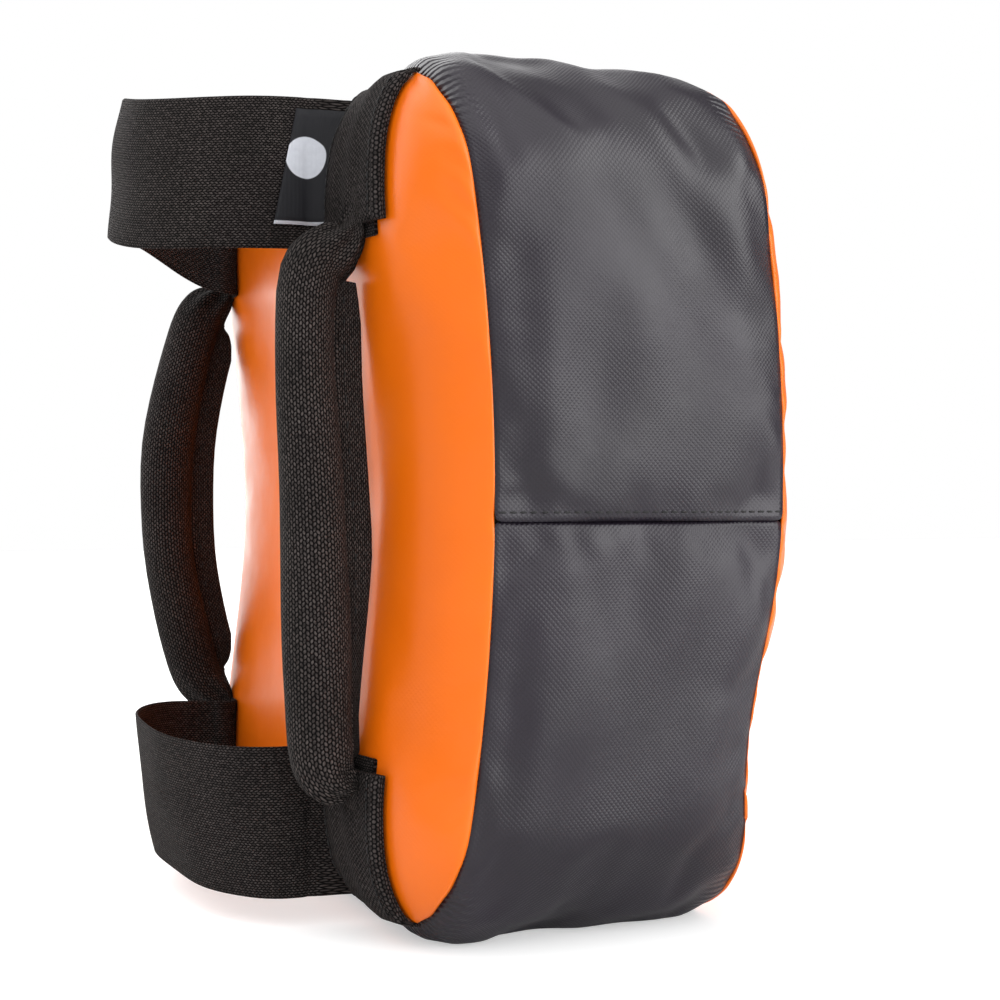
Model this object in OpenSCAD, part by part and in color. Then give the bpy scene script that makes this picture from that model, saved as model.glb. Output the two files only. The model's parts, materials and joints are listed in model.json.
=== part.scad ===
// Curved kick shield: a foam block in a sewn vinyl cover, with two elastic
// forearm straps and two padded hand grips on its concave back.
// +Z runs along the shield's length and +Y points out of the strike face.
// The origin is the middle of the flat lower end that the shield stands on.

/* [Shield body] */
// Length of the shield, end to end
body_h = 450; // [430:5:500]
// Width of the shield across the side bands
body_w = 400; // [380:5:430]
// Depth of the side band between its two panel seams
band_depth = 165; // [150:5:180]
// Corner radius of the outline
corner_r = 65; // [50:1:80]
// Radius of the curve along the length
curve_r = 1000; // [950:25:1400]
// How far the back panel puffs out past its seam
back_bulge = 42; // [40:0.5:44]
// How far the strike panel puffs out past its seam
strike_bulge = 26; // [18:1:32]
// How far below the shield's middle the seam between the two band pieces lies
seam_drop = 12; // [0:1:20]
// Thickness of the vinyl
skin_t = 1.2; // [1:0.1:1.4]

/* [Foam] */
// Depth of the dense foam behind the strike panel
strike_layer = 30; // [20:1:40]
// Depth of the firm foam behind the back panel
back_layer = 25; // [15:1:35]
// Clearance between the foam and the cover
foam_gap = 0.3; // [0.2:0.1:0.6]

/* [Forearm straps] */
// Width of the elastic
strap_w = 78; // [70:1:80]
// Thickness of the elastic
strap_t = 1.8; // [1.4:0.1:2]
// Height of each strap's middle above or below the shield's middle
strap_mid = 170; // [169:0.5:172]
// Half width of each strap's loop
loop_half_w = 100; // [92:1:106]
// Distance of the loop's widest place from the back seam
loop_wide_out = 77; // [76:1:80]
// Distance of the upper loop's top from the back seam
upper_loop_out = 147; // [140:1:155]
// Distance of the lower loop's top from the back seam
lower_loop_out = 127; // [120:1:150]

/* [Grips] */
// Distance of each grip from the shield's middle plane
grip_x = 130; // [127:1:132]
// Radius of the padded roll
roll_r = 16; // [14:0.5:16]
// Radius of the foam rod in the roll
rod_r = 13.4; // [11:0.1:13.4]
// Depth of the sewn flange behind the roll
flange_depth = 8.5; // [5:0.5:8.5]
// Thickness of the flange, two layers of webbing
flange_t = 3.2; // [2.4:0.2:4]
// How far the right grip bows out at its middle
right_bow = 2; // [2:0.5:12]
// How far the left grip bows out at its middle
left_bow = 18; // [8:0.5:20]

/* [Anchor patches] */
// Width of each patch of folded webbing
patch_w = 64; // [56:1:66]
// Height of each patch
patch_h = 76; // [70:1:77]
// Thickness of the folded webbing
patch_t = 3.6; // [3:0.2:3.8]

/* [Label] */
// Width of the label along the strap
label_w = 36; // [24:1:40]
// Height of the label across the strap
label_h = 62; // [40:1:66]

/* [Hidden] */
$fn = 96;

vinyl_black = "#242226";
vinyl_orange = "#f07002";
webbing_black = "#181718";
thread_black = "#0e0e0f";
foam_white = "#e6e2d6";

mid_z = body_h / 2;
half_w = body_w / 2;
half_h = body_h / 2;
seam_z = mid_z - seam_drop;

// Fall of the curve behind its middle, at height z
function sag(z) = curve_r - sqrt(pow(curve_r, 2) - pow(z - mid_z, 2));
// The lower end is centred on Y 0, so the middle of the band sits forward by the fall there
mid_y = sag(0);
back_mid = mid_y - band_depth / 2;
strike_mid = mid_y + band_depth / 2;

// Share of the way from the middle to the outline at which a point lies
corner_x = half_w - corner_r;
corner_z = half_h - corner_r;
function corner_share(x, z) =
    let (a = x * x + z * z, b = x * corner_x + z * corner_z)
    let (c = pow(corner_x, 2) + pow(corner_z, 2) - pow(corner_r, 2))
    a / (b + sqrt(b * b - a * c));
function first_quarter_share(x, z) =
    z * half_w <= corner_z * x ? x / half_w :
    x * half_h <= corner_x * z ? z / half_h : corner_share(x, z);
function share(x, z) = first_quarter_share(abs(x), abs(z - mid_z));

// Height of a stuffed panel at a share of the way out, 1 in the middle and 0 at the seam
puff_edge = 5;
puff_round = 0.8;
function puff(s) = s >= 1 ? 0 : pow(1 - pow(s, puff_edge), puff_round);
function back_face(x, z) = back_mid - sag(z) - skin_t - back_bulge * puff(share(x, z));

// Outline of the shield, in X and Z from its middle, shrunk by inset
arc_steps = 10;
side_steps = 5;
function arc_points(cx, cz, r, start) =
    [for (i = [0 : arc_steps]) let (a = start + 90 * i / arc_steps) [cx + r * cos(a), cz + r * sin(a)]];
function side_points(p, q) = [for (i = [1 : side_steps - 1]) p + (q - p) * i / side_steps];
function corner_arcs(r) = [
    arc_points(corner_x, corner_z, r, 0), arc_points(-corner_x, corner_z, r, 90),
    arc_points(-corner_x, -corner_z, r, 180), arc_points(corner_x, -corner_z, r, 270)
];
function outline(inset) =
    let (arcs = corner_arcs(corner_r - inset))
    [for (k = [0 : 3]) each concat(arcs[k], side_points(arcs[k][arc_steps], arcs[(k + 1) % 4][0]))];

// Closed plate between two stuffed faces. Each face is given by its Y at the middle and its bulge,
// and follows the shield's curve.
ring_count = 9;
function ring_share(j) = 1 - pow(1 - j / ring_count, 1.6);
function face_points(edge, y, bulge) = concat(
    [[0, y + bulge, mid_z]],
    [for (j = [1 : ring_count]) let (s = ring_share(j)) for (p = edge)
        [p.x * s, y + bulge * puff(s) - sag(mid_z + p.y * s), mid_z + p.y * s]]
);
function fan(start, n, flip) =
    [for (i = [0 : n - 1]) flip ? [start, start + 1 + (i + 1) % n, start + 1 + i]
                                : [start, start + 1 + i, start + 1 + (i + 1) % n]];
function ring_faces(start, n, flip) =
    [for (j = [0 : ring_count - 2]) for (i = [0 : n - 1])
        let (a = start + 1 + j * n + i, b = start + 1 + j * n + (i + 1) % n)
        each flip ? [[a, b, b + n], [a, b + n, a + n]] : [[a, b + n, b], [a, a + n, b + n]]];
function rim_faces(n, count) =
    [for (i = [0 : n - 1])
        let (a = count - n + i, b = count - n + (i + 1) % n)
        each [[a, b, b + count], [a, b + count, a + count]]];
module stuffed_plate(inset, y_back, bulge_back, y_front, bulge_front) {
    edge = outline(inset);
    n = len(edge);
    count = 1 + n * ring_count;
    polyhedron(
        points = concat(face_points(edge, y_back, -bulge_back), face_points(edge, y_front, bulge_front)),
        faces = concat(
            fan(0, n, true), ring_faces(0, n, true),
            fan(count, n, false), ring_faces(count, n, false),
            rim_faces(n, count)
        ),
        convexity = 4
    );
}

// Straight prism of the outline, along Y
module outline_prism(inset) {
    reach = body_w;
    translate([0, reach, mid_z])
        rotate([90, 0, 0])
            linear_extrude(2 * reach) {
                square([body_w - 2 * inset, 2 * corner_z], center = true);
                square([2 * corner_x, body_h - 2 * inset], center = true);
                for (x = [-corner_x, corner_x], z = [-corner_z, corner_z])
                    translate([x, z])
                        circle(corner_r - inset);
            }
}

// The long curve needs many sides to stay smooth at its large radius
curve_fn = 720;

// Slab that follows the shield's curve between two places on the middle line
module curved_slab(y_back, y_front) {
    difference() {
        curve_cylinder(y_front);
        curve_cylinder(y_back);
    }
}
module curve_cylinder(y) {
    translate([0, y - curve_r, mid_z])
        rotate([0, 90, 0])
            cylinder(h = 2 * body_w, r = curve_r, center = true, $fn = curve_fn);
}

// The panels' and foams' flat facets cut inside the shield's curve by up to this much
chord_gap = 0.6;

// Wall of the side band, between two insets of the outline
module band_wall(outer_inset, inner_inset) {
    intersection() {
        difference() {
            outline_prism(outer_inset);
            outline_prism(inner_inset);
        }
        curved_slab(back_mid, strike_mid - chord_gap);
    }
}
module height_slice(low, high) {
    translate([-body_w, -body_w, low])
        cube([2 * body_w, 2 * body_w, high - low]);
}

// ---- Cover ----

module strike_panel() {
    color(vinyl_orange)
        stuffed_plate(0, strike_mid, -strike_bulge, strike_mid + skin_t, strike_bulge);
}

module back_panel() {
    color(vinyl_orange)
        stuffed_plate(0, back_mid - skin_t, back_bulge, back_mid, -back_bulge);
}

// The lower band's top edge is tucked behind the folded edge of the upper band
lap_up = 12;
lap_down = 6;

module upper_side_band() {
    color(vinyl_black)
        intersection() {
            band_wall(0, skin_t);
            height_slice(seam_z, body_h + 1);
        }
}

module lower_side_band() {
    color(vinyl_black) {
        intersection() {
            band_wall(0, skin_t);
            height_slice(-1, seam_z);
        }
        intersection() {
            band_wall(skin_t, 2 * skin_t);
            height_slice(seam_z - lap_down, seam_z + lap_up);
        }
    }
}

// Every stitch is one straight length of thread that lies just clear of the cloth
thread_t = 0.8;
stitch_len = 4.6;
stitch_pitch = 5.6;
stitch_clear = 0.35;
stitch_up = stitch_clear + thread_t / 2;
seam_row_up = 4;

module band_seam_stitching() {
    first = back_mid + stitch_pitch;
    count = floor((band_depth - 2 * stitch_pitch) / stitch_pitch);
    color(thread_black)
        for (side = [-1, 1], i = [0 : count])
            translate([side * (half_w + stitch_up), first + i * stitch_pitch, seam_z + seam_row_up])
                cube([thread_t, stitch_len, thread_t], center = true);
}

// ---- Foam ----

foam_inset = 2 * skin_t + foam_gap;

module strike_foam() {
    color(foam_white)
        stuffed_plate(foam_inset, strike_mid - strike_layer, 0, strike_mid - foam_gap, strike_bulge);
}

module core_foam() {
    color(foam_white)
        intersection() {
            outline_prism(foam_inset);
            curved_slab(back_mid + back_layer + foam_gap, strike_mid - strike_layer - chord_gap);
        }
}

module back_foam() {
    color(foam_white)
        stuffed_plate(foam_inset, back_mid + foam_gap, back_bulge, back_mid + back_layer, 0);
}

// ---- Straps and anchors on the back panel ----

// Plate that lies on the back panel: lift is its height above the vinyl
module lying_plate(x_mid, z_mid, w, h, lift, t) {
    nx = 6;
    nz = 8;
    xs = [for (i = [0 : nx]) x_mid - w / 2 + w * i / nx];
    zs = [for (k = [0 : nz]) z_mid - h / 2 + h * k / nz];
    count = (nx + 1) * (nz + 1);
    // Corners of a cell of the lower face, and the outer ring of points in order
    cells = [for (i = [0 : nx - 1], k = [0 : nz - 1]) [i, k]];
    rim = concat(
        [for (i = [0 : nx - 1]) [i, 0]], [for (k = [0 : nz - 1]) [nx, k]],
        [for (i = [nx : -1 : 1]) [i, nz]], [for (k = [nz : -1 : 1]) [0, k]]
    );
    row = nz + 1;
    polyhedron(
        points = [for (up = [lift, lift + t]) for (x = xs) for (z = zs) [x, back_face(x, z) - up, z]],
        faces = concat(
            [for (c = cells) let (a = c.x * row + c.y)
                each [[a, a + row, a + row + 1], [a, a + row + 1, a + 1]]],
            [for (c = cells) let (a = count + c.x * row + c.y)
                each [[a, a + row + 1, a + row], [a, a + 1, a + row + 1]]],
            [for (i = [0 : len(rim) - 1])
                let (p = rim[i], q = rim[(i + 1) % len(rim)])
                let (a = p.x * row + p.y, b = q.x * row + q.y)
                each [[b, a, a + count], [b, a + count, b + count]]]
        ),
        convexity = 4
    );
}

rest_gap = 0.4;
strap_end_w = 44;
strap_end_in = 6;
patch_up = 5;
patch_mid = strap_mid + patch_up;
patch_lift = rest_gap + strap_t + rest_gap;

// The sewn ends of one strap, side is 1 for the upper strap and -1 for the lower
module strap_ends(side) {
    color(webbing_black)
        for (hand = [-1, 1])
            lying_plate(hand * (grip_x - strap_end_in), mid_z + side * strap_mid, strap_end_w, strap_w,
                rest_gap, strap_t);
}
module upper_strap_ends() { strap_ends(1); }
module lower_strap_ends() { strap_ends(-1); }

module anchor(hand, side) {
    color(webbing_black)
        lying_plate(hand * grip_x, mid_z + side * patch_mid, patch_w, patch_h, patch_lift, patch_t);
}
module right_upper_anchor() { anchor(1, 1); }
module right_lower_anchor() { anchor(1, -1); }
module left_upper_anchor() { anchor(-1, 1); }
module left_lower_anchor() { anchor(-1, -1); }

// A row of stitches up both long edges of every patch
anchor_stitch_in = 4;
module anchor_stitching() {
    rows = floor((patch_h - 2 * anchor_stitch_in) / stitch_pitch);
    color(thread_black)
        for (hand = [-1, 1], side = [-1, 1], edge = [-1, 1], i = [0 : rows]) {
            x = hand * grip_x + edge * (patch_w / 2 - anchor_stitch_in);
            z = mid_z + side * patch_mid + (i - rows / 2) * stitch_pitch;
            slope = (back_face(x, z + 1) - back_face(x, z - 1)) / 2;
            translate([x, back_face(x, z) - patch_lift - patch_t - stitch_up, z])
                rotate([-atan(slope), 0, 0])
                    cube([thread_t, thread_t, stitch_len], center = true);
        }
}

// Half of a strap's loop is a tall elliptical arc, and below its widest place it turns in to its foot
foot_turn = 22;
foot_drop = 48;
loop_steps = 60;
function loop_height(angle, top) = angle < 0 || angle > 180 ? foot_drop : top - loop_wide_out;
function loop_point(angle, top, grow) = [
    (loop_half_w + grow) * cos(angle),
    back_mid - loop_wide_out - (loop_height(angle, top) + grow) * sin(angle)
];
function loop_side(from, to, top, grow) =
    [for (i = [0 : loop_steps]) loop_point(from + (to - from) * i / loop_steps, top, grow)];
module loop_strip(from, to, top, inner, outer, middle, width) {
    translate([0, 0, middle])
        linear_extrude(width, center = true)
            polygon(concat(loop_side(from, to, top, outer), loop_side(to, from, top, inner)));
}
module forearm_strap(side, top) {
    color(webbing_black)
        loop_strip(-foot_turn, 180 + foot_turn, top, -strap_t / 2, strap_t / 2,
            mid_z + side * strap_mid, strap_w);
}
module upper_forearm_strap() { forearm_strap(1, upper_loop_out); }
module lower_forearm_strap() { forearm_strap(-1, lower_loop_out); }

// Angle that a strip starting at the given angle has reached after a run along the loop
function loop_turn(angle, run, top) =
    run <= 0 ? angle :
    loop_turn(angle + 1, run - norm(loop_point(angle + 1, top, 0) - loop_point(angle, top, 0)), top);

// The label lies on the outside of the upper strap's right leg, from its foot
label_t = 0.5;
label_start = -20;
module label() {
    under = strap_t / 2 + rest_gap;
    color(thread_black)
        loop_strip(label_start, loop_turn(label_start, label_w, upper_loop_out), upper_loop_out,
            under, under + label_t, mid_z + strap_mid, label_h);
}

// ---- Grips ----

// Each grip is a foam rod in a sleeve of webbing whose edges meet in a flange. It swings about the
// upright line through its two sewn ends, and its roll follows an arc between them.
pivot_out = 57;
roll_out = 72;
grip_half = 110;
neck_end = 136.5;
neck_w = 11;
neck_t = 3;
slice_t = 1;

function bow_radius(bow) = (pow(grip_half, 2) + pow(bow, 2)) / (2 * bow);

// Sweeps a section along the grip's arc. The section's X points out from the panel, its Y across.
module grip_sweep(hand, bow) {
    r = bow_radius(bow);
    half_turn = asin(grip_half / r);
    translate([hand * grip_x, back_mid - roll_out - bow + r, mid_z])
        rotate([0, 90, 0])
            rotate([0, 0, -90 - half_turn])
                rotate_extrude(angle = 2 * half_turn)
                    translate([r, 0])
                        children();
}
module sleeve_section() {
    difference() {
        union() {
            circle(roll_r);
            translate([-roll_r - flange_depth, -flange_t / 2])
                square([flange_depth + roll_r / 2, flange_t]);
        }
        circle(rod_r);
    }
}
// The pinched end runs from the roll down to the sewn end
module grip_neck(hand, side) {
    slope = side * asin(grip_half / bow_radius(hand > 0 ? right_bow : left_bow));
    hull() {
        translate([hand * grip_x, back_mid - roll_out, mid_z + side * grip_half])
            rotate([slope, 0, 0])
                cylinder(h = slice_t, r = roll_r - slice_t, center = true, $fn = 32);
        translate([hand * grip_x, back_mid - pivot_out, mid_z + side * (neck_end - slice_t / 2)])
            cube([neck_w, neck_t, slice_t], center = true);
    }
}
module grip_sleeve(hand, bow) {
    color(webbing_black) {
        grip_sweep(hand, bow)
            sleeve_section();
        grip_neck(hand, 1);
        grip_neck(hand, -1);
    }
}
rod_gap = 0.1;
module grip_foam(hand, bow) {
    color(foam_white)
        intersection() {
            grip_sweep(hand, bow)
                circle(rod_r - rod_gap);
            height_slice(mid_z - grip_half + roll_r / 2, mid_z + grip_half - roll_r / 2);
        }
}
// One row of thread through the flange, near its edge
module grip_stitching(hand, bow) {
    r = bow_radius(bow);
    half_turn = asin(grip_half / r);
    row_r = r - roll_r - flange_depth / 2;
    count = floor(2 * grip_half / stitch_pitch) - 1;
    color(thread_black)
        for (i = [0 : count], face = [-1, 1]) {
            angle = half_turn * (2 * i / count - 1) * 0.97;
            translate([hand * grip_x + face * (flange_t / 2 + stitch_up),
                back_mid - roll_out - bow + r - row_r * cos(angle), mid_z + row_r * sin(angle)])
                rotate([angle, 0, 0])
                    cube([thread_t, thread_t, stitch_len], center = true);
        }
}
module right_grip_sleeve() { grip_sleeve(1, right_bow); }
module left_grip_sleeve() { grip_sleeve(-1, left_bow); }
module right_grip_foam() { grip_foam(1, right_bow); }
module left_grip_foam() { grip_foam(-1, left_bow); }
module right_grip_stitching() { grip_stitching(1, right_bow); }
module left_grip_stitching() { grip_stitching(-1, left_bow); }

strike_panel();
back_panel();
upper_side_band();
lower_side_band();
band_seam_stitching();
strike_foam();
core_foam();
back_foam();
upper_strap_ends();
lower_strap_ends();
upper_forearm_strap();
lower_forearm_strap();
right_upper_anchor();
right_lower_anchor();
left_upper_anchor();
left_lower_anchor();
anchor_stitching();
right_grip_sleeve();
right_grip_foam();
right_grip_stitching();
left_grip_sleeve();
left_grip_foam();
left_grip_stitching();
label();
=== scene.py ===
"""Looks of a curved kick shield: stuffed vinyl cover, elastic forearm straps and padded webbing grips.

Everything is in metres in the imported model's frame: +Z along the shield, +Y out of the strike face.
"Out" below is the distance from the back seam towards the holder, which is along -Y.
"""
import json
import math

import bpy
import numpy as np
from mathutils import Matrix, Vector
from mathutils.bvhtree import BVHTree


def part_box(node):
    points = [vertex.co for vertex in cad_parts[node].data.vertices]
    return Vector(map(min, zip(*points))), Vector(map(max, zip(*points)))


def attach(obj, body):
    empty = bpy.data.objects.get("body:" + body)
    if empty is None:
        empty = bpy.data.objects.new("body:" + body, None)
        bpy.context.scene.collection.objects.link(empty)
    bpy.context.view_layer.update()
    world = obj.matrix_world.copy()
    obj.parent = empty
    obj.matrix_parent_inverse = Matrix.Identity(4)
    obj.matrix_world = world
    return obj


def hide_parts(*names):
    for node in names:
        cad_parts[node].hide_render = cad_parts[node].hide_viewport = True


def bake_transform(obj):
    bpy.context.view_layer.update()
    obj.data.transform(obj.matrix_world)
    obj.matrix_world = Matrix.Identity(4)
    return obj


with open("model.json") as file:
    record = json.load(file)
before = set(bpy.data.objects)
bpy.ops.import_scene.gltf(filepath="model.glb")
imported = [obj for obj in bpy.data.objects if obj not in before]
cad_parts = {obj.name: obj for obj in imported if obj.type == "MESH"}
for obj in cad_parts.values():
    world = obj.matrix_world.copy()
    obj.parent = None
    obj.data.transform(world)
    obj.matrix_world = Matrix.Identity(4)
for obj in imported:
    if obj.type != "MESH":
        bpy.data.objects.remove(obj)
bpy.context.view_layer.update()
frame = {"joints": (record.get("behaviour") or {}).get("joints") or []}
MM = 0.001

# ---- Sizes, from the frame ----

BAND_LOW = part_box("lower_side_band")[0]
BAND_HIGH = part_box("upper_side_band")[1]
HALF_W = BAND_HIGH[0]
HALF_H = BAND_HIGH[2] / 2
MID_Z = HALF_H
DEPTH = -2 * BAND_LOW[1]
END_SAG = BAND_HIGH[1] - DEPTH / 2
CURVE_R = (HALF_H**2 + END_SAG**2) / (2 * END_SAG)
BACK_MID = END_SAG - DEPTH / 2
STRIKE_MID = END_SAG + DEPTH / 2
CORNER_R = 65 * MM  # of the outline's corners
STRIKE_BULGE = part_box("strike_panel")[1][1] - STRIKE_MID - 1.2 * MM
BACK_BULGE = 42 * MM
SKIN = 1.2 * MM
SEAM_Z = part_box("upper_side_band")[0][2] - MID_Z  # height of the band's cross seam above the middle
JOINTS = {j["name"]: j for j in frame["joints"]}
GRIP_X = JOINTS["right_grip_swing"]["pos_m"][0]
PIVOT_OUT = BACK_MID - JOINTS["right_grip_swing"]["pos_m"][1]
STRAP_RISE = JOINTS["upper_strap_lean"]["pos_m"][2] - MID_Z
STRAP_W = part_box("upper_forearm_strap")[1][2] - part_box("upper_forearm_strap")[0][2]
PATCH_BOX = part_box("right_upper_anchor")
PATCH_W = PATCH_BOX[1][0] - PATCH_BOX[0][0]
PATCH_H = PATCH_BOX[1][2] - PATCH_BOX[0][2]
PATCH_RISE = (PATCH_BOX[1][2] + PATCH_BOX[0][2]) / 2 - MID_Z


def sag(z):
    """Fall of the shield's curve at height z above its middle."""
    return CURVE_R - math.sqrt(CURVE_R**2 - z * z)


def at_out(out):
    """The Y that lies this far out from the back seam's middle."""
    return BACK_MID - out


def smooth(value, low, high):
    """0 below low, 1 above high, and a smooth rise between."""
    t = np.clip((value - low) / (high - low), 0, 1)
    return t * t * (3 - 2 * t)


def bell(value, middle, width):
    return np.exp(-(((value - middle) / width) ** 2))


# ---- Mesh helpers ----


def place_object(name, data):
    obj = bpy.data.objects.new(name, data)
    bpy.context.collection.objects.link(obj)
    return obj


def make_object(name, verts, faces, material=None, uvs=None):
    """A mesh object. uvs has one (u, v) for each vertex, in metres."""
    mesh = bpy.data.meshes.new(name)
    mesh.from_pydata([tuple(map(float, v)) for v in verts], [], faces)
    if uvs is not None:
        layer = mesh.uv_layers.new(name="UVMap")
        for loop in mesh.loops:
            layer.data[loop.index].uv = uvs[loop.vertex_index]
    mesh.polygons.foreach_set("use_smooth", [True] * len(mesh.polygons))
    mesh.update()
    if material:
        mesh.materials.append(material)
    return place_object(name, mesh)


def modifier(obj, kind, **settings):
    m = obj.modifiers.new(kind.title(), kind)
    for key, value in settings.items():
        setattr(m, key, value)
    return m


def apply_modifiers(obj):
    dg = bpy.context.evaluated_depsgraph_get()
    mesh = bpy.data.meshes.new_from_object(obj.evaluated_get(dg), depsgraph=dg)
    obj.modifiers.clear()
    obj.data = mesh


def lengths_along(line):
    """Each point's distance from the line's start, measured along it."""
    return np.concatenate([[0], np.cumsum(np.linalg.norm(np.diff(line, axis=0), axis=1))])


def quarter_turned(line):
    """Unit vectors square to a flat line, its direction turned a quarter."""
    tangent = np.gradient(line, axis=0)
    tangent /= np.linalg.norm(tangent, axis=1)[:, None]
    return np.stack([-tangent[:, 1], tangent[:, 0]], axis=1)


def curve_through(points, count):
    """count points on a smooth curve through the given ones, evenly spaced along it."""
    p = np.array(points, float)
    ext = np.vstack([2 * p[0] - p[1], p, 2 * p[-1] - p[-2]])
    fine = []
    for i in range(1, len(ext) - 2):
        a, b, c, d = ext[i - 1 : i + 3]
        square, cube = 2 * a - 5 * b + 4 * c - d, 3 * b - a - 3 * c + d
        for t in np.linspace(0, 1, 24, endpoint=False):
            fine.append(0.5 * (2 * b + (c - a) * t + square * t * t + cube * t**3))
    fine = np.array(fine + [p[-1]])
    along = lengths_along(fine)
    wanted = np.linspace(0, along[-1], count)
    return np.stack([np.interp(wanted, along, fine[:, k]) for k in range(p.shape[1])], axis=1)


def grid_faces(rows, cols, close_cols=False):
    """Quads of a grid whose vertices run row by row."""
    out = []
    for r in range(rows - 1):
        for c in range(cols if close_cols else cols - 1):
            after = (c + 1) % cols
            out.append((r * cols + c, r * cols + after, (r + 1) * cols + after, (r + 1) * cols + c))
    return out


def tube_faces(rows, cols):
    """Faces of a closed tube with a cap at each end."""
    faces = grid_faces(rows, cols, close_cols=True)
    faces.append(tuple(reversed(range(cols))))
    faces.append(tuple(range((rows - 1) * cols, rows * cols)))
    return faces


def grid_rim(rows, cols):
    """Indices of a grid's rim in order: along its first row, up its last column, and back round."""
    last, top = cols - 1, (rows - 1) * cols
    return (
        [c for c in range(last)]
        + [last + r * cols for r in range(rows - 1)]
        + [top + last - c for c in range(last)]
        + [top - r * cols for r in range(rows - 1)]
    )


def slab_faces(rows, cols):
    """Faces of a closed slab between two grids. The vertices are the first grid's and then the second's."""
    low = grid_faces(rows, cols)
    grid = rows * cols
    faces = [tuple(reversed(f)) for f in low] + [tuple(i + grid for i in f) for f in low]
    rim = grid_rim(rows, cols)
    for here, after in zip(rim, rim[1:] + rim[:1]):
        faces.append((here, after, after + grid, here + grid))
    return faces


def fold_noise(x, y, seed):
    """Smooth seeded noise of about unit height with features about one unit across."""
    waves = 7
    rng = np.random.default_rng(seed)
    total = np.zeros_like(np.asarray(x, float) + np.asarray(y, float))
    for _ in range(waves):
        angle, phase = rng.uniform(0, 2 * math.pi, 2)
        scale = rng.uniform(0.6, 1.5)
        total += np.sin(scale * 2 * math.pi * (x * math.cos(angle) + y * math.sin(angle)) + phase)
    return total / math.sqrt(waves)


# ---- Materials ----


class Nodes:
    """Short way to write a node tree."""

    def __init__(self, name):
        self.material = bpy.data.materials.new(name)
        self.material.use_nodes = True
        self.tree = self.material.node_tree
        self.shader = self.tree.nodes["Principled BSDF"]

    def add(self, kind, inputs=None, **settings):
        n = self.tree.nodes.new(kind)
        for key, value in settings.items():
            setattr(n, key, value)
        for key, value in (inputs or {}).items():
            self.feed(n.inputs[key], value)
        return n

    def feed(self, socket, value):
        if hasattr(value, "is_linked"):
            self.tree.links.new(value, socket)
        else:
            socket.default_value = value

    def math(self, op, a, b=0.0, c=0.0):
        n = self.add("ShaderNodeMath", operation=op)
        for socket, value in zip(n.inputs, (a, b, c)):
            self.feed(socket, value)
        return n.outputs[0]

    def uv(self):
        n = self.add("ShaderNodeUVMap", uv_map="UVMap")
        split = self.add("ShaderNodeSeparateXYZ", {0: n.outputs[0]})
        return n.outputs[0], split.outputs[0], split.outputs[1]

    def noise(self, vector, scale, detail=3.0, rough=0.5):
        inputs = {"Vector": vector, "Scale": scale, "Detail": detail, "Roughness": rough}
        return self.add("ShaderNodeTexNoise", inputs).outputs["Fac"]

    def ramp(self, value, low, high, out_low, out_high):
        n = self.add("ShaderNodeMapRange", interpolation_type="SMOOTHSTEP")
        for socket, v in zip(n.inputs, (value, low, high, out_low, out_high)):
            self.feed(socket, v)
        return n.outputs[0]

    def mix(self, factor, a, b):
        n = self.add("ShaderNodeMix", data_type="RGBA")
        self.feed(n.inputs["Factor"], factor)
        self.feed(n.inputs[6], a)
        self.feed(n.inputs[7], b)
        return n.outputs[2]

    def wave(self, value, pitch):
        """Sine of value with this pitch."""
        return self.math("SINE", self.math("MULTIPLY", value, 2 * math.pi / pitch))

    def bump(self, height, distance, strength=1.0, under=None):
        n = self.add("ShaderNodeBump", {"Height": height, "Distance": distance, "Strength": strength})
        if under is not None:
            self.feed(n.inputs["Normal"], under)
        return n.outputs[0]

    def finish(self, **sockets):
        for key, value in sockets.items():
            self.feed(self.shader.inputs[key.replace("_", " ")], value)
        return self.material


SCRIM = 2.6 * MM  # spacing of the emboss lines across their run
PLEAT_REACH = 17 * MM  # how far the gathers run from a seam
PLEAT_PITCH = 4.6 * MM


def vinyl(name, colour, dark, roughness, emboss, gloss, pleated):
    """Coated vinyl with a diagonal scrim emboss, a fine grain and slightly uneven sheen. pleated adds the
    fine gathers along both seams where the band goes round the shield's ends."""
    n = Nodes(name)
    place, u, v = n.uv()
    wobble = n.math("MULTIPLY", n.noise(place, 40.0), 1.5 * MM)
    left = n.wave(n.math("ADD", n.math("ADD", u, v), wobble), 2 * SCRIM)
    right = n.wave(n.math("SUBTRACT", n.math("SUBTRACT", u, v), wobble), 2 * SCRIM)
    diamonds = n.math("MULTIPLY", n.math("ABSOLUTE", left), n.math("ABSOLUTE", right))
    faded = n.math("MULTIPLY", diamonds, n.ramp(n.noise(place, 14.0, 3.0), 0.3, 0.65, 0.35, 1.0))
    grain = n.noise(place, 1400.0, 2.0)
    soft = n.noise(place, 22.0, 4.0, 0.55)
    normal = n.bump(faded, emboss, 0.5)
    normal = n.bump(grain, 0.05 * MM, 0.5, normal)
    normal = n.bump(soft, 2.2 * MM, 0.3, normal)
    if pleated:
        from_seam = n.math("MINIMUM", u, n.math("SUBTRACT", DEPTH, u))
        near = n.ramp(from_seam, 2 * MM, PLEAT_REACH, 1.0, 0.0)
        at_end = n.ramp(n.math("ABSOLUTE", v), HALF_H - 50 * MM, HALF_H - 10 * MM, 0.0, 1.0)
        bend = n.math("MULTIPLY", n.noise(place, 60.0), 6 * MM)
        ribs = n.wave(n.math("ADD", v, bend), PLEAT_PITCH)
        ribs = n.math("MULTIPLY", ribs, n.math("MULTIPLY", near, at_end))
        normal = n.bump(ribs, 0.9 * MM, 0.8, normal)
    tone = n.ramp(n.noise(place, 9.0, 5.0), 0.3, 0.7, 0.0, 1.0)
    return n.finish(
        Base_Color=n.mix(tone, dark, colour),
        Roughness=n.ramp(n.noise(place, 30.0, 4.0), 0.25, 0.75, roughness - 0.05, roughness + 0.06),
        Normal=normal,
        Specular_IOR_Level=gloss,
    )


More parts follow.
